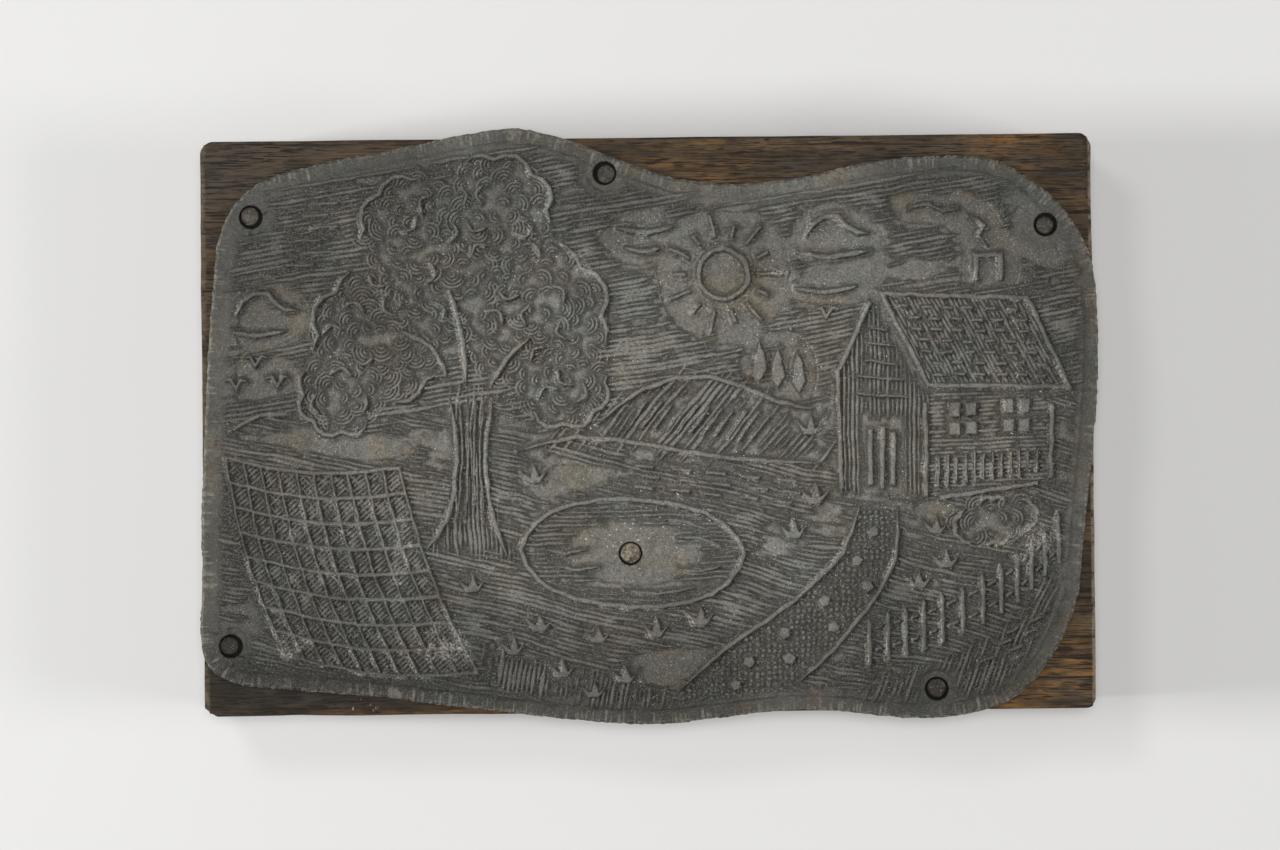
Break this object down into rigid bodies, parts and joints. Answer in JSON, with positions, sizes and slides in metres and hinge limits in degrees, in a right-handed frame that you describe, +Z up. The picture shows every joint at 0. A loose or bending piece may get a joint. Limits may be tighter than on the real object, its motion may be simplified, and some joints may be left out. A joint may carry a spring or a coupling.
{
  "type": "mounted relief printing plate",
  "caption": "Etched metal relief plate with a wavy sawn outline, nailed to a rectangular hardwood block that brings its raised picture up to type height.",
  "frame": {"origin": "middle of the wooden block's underside, which stands on the press bed", "axes": "+X along the block's length, +Y across it towards the top of the picture, +Z up out of the printing face"},
  "size_m": [0.1132, 0.075, 0.0233],
  "materials": {
    "hardwood": "dark oiled and ink-stained hardwood, open pores along its length, worn arrises",
    "etched_zinc": "dull grey etched zinc with ink left in its hollows, filed edge",
    "dark_iron": "flat nail head, dull and ink-stained",
    "bare_iron": "flat nail head rubbed bare, lightly rusted"
  },
  "bodies": {
    "root": {"wood_block": "hardwood", "zinc_plate": "etched_zinc", "nail_left_top": "dark_iron", "nail_middle_top": "dark_iron", "nail_right_top": "dark_iron", "nail_middle": "bare_iron", "nail_right_bottom": "dark_iron", "nail_left_bottom": "dark_iron"}
  },
  "joints": []
}
